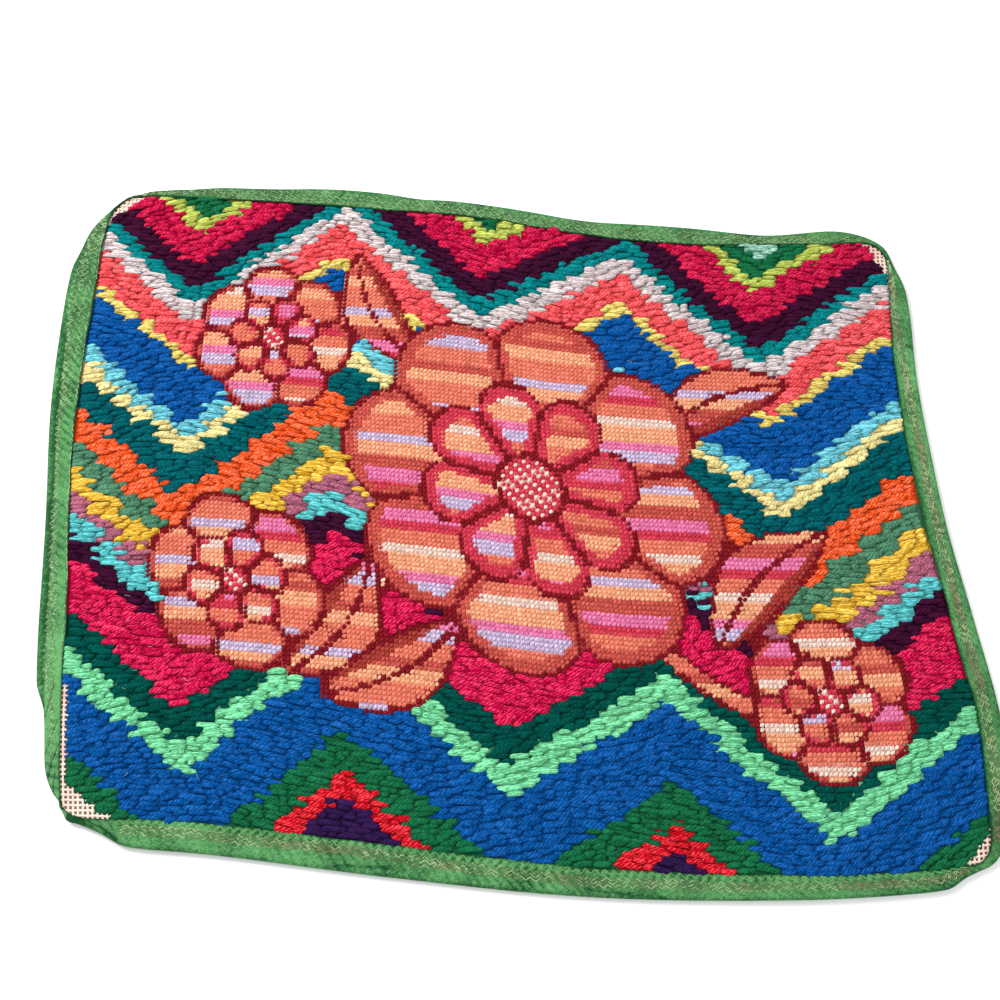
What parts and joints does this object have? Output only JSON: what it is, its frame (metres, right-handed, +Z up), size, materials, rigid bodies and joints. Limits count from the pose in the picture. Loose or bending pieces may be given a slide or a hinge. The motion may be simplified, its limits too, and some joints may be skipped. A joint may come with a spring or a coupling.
{
  "type": "needlepoint canvas panel with bound edge",
  "caption": "Rectangular needlepoint panel in wool on mesh canvas, its edge bound all round with folded cotton bias tape, lying flat.",
  "frame": {"origin": "centre of the panel's bounding box, on the surface it lies on", "axes": "+X along the long sides, to the right as the panel is looked at; +Y across it, towards its far long side; +Z up out of the worked face"},
  "size_m": [0.5303, 0.4209, 0.0056],
  "materials": {
    "worked_wool": "tapestry wool in cross stitch and random long stitch, many colours, soft dull sheen",
    "cotton_tape": "green cotton bias tape with drag wrinkles and zigzag machine sewing",
    "bare_canvas": "sized cotton needlepoint canvas, off-white, matt",
    "sewing_thread": "fine variegated machine thread"
  },
  "bodies": {
    "root": {"canvas": "worked_wool", "binding": "cotton_tape"}
  },
  "joints": []
}
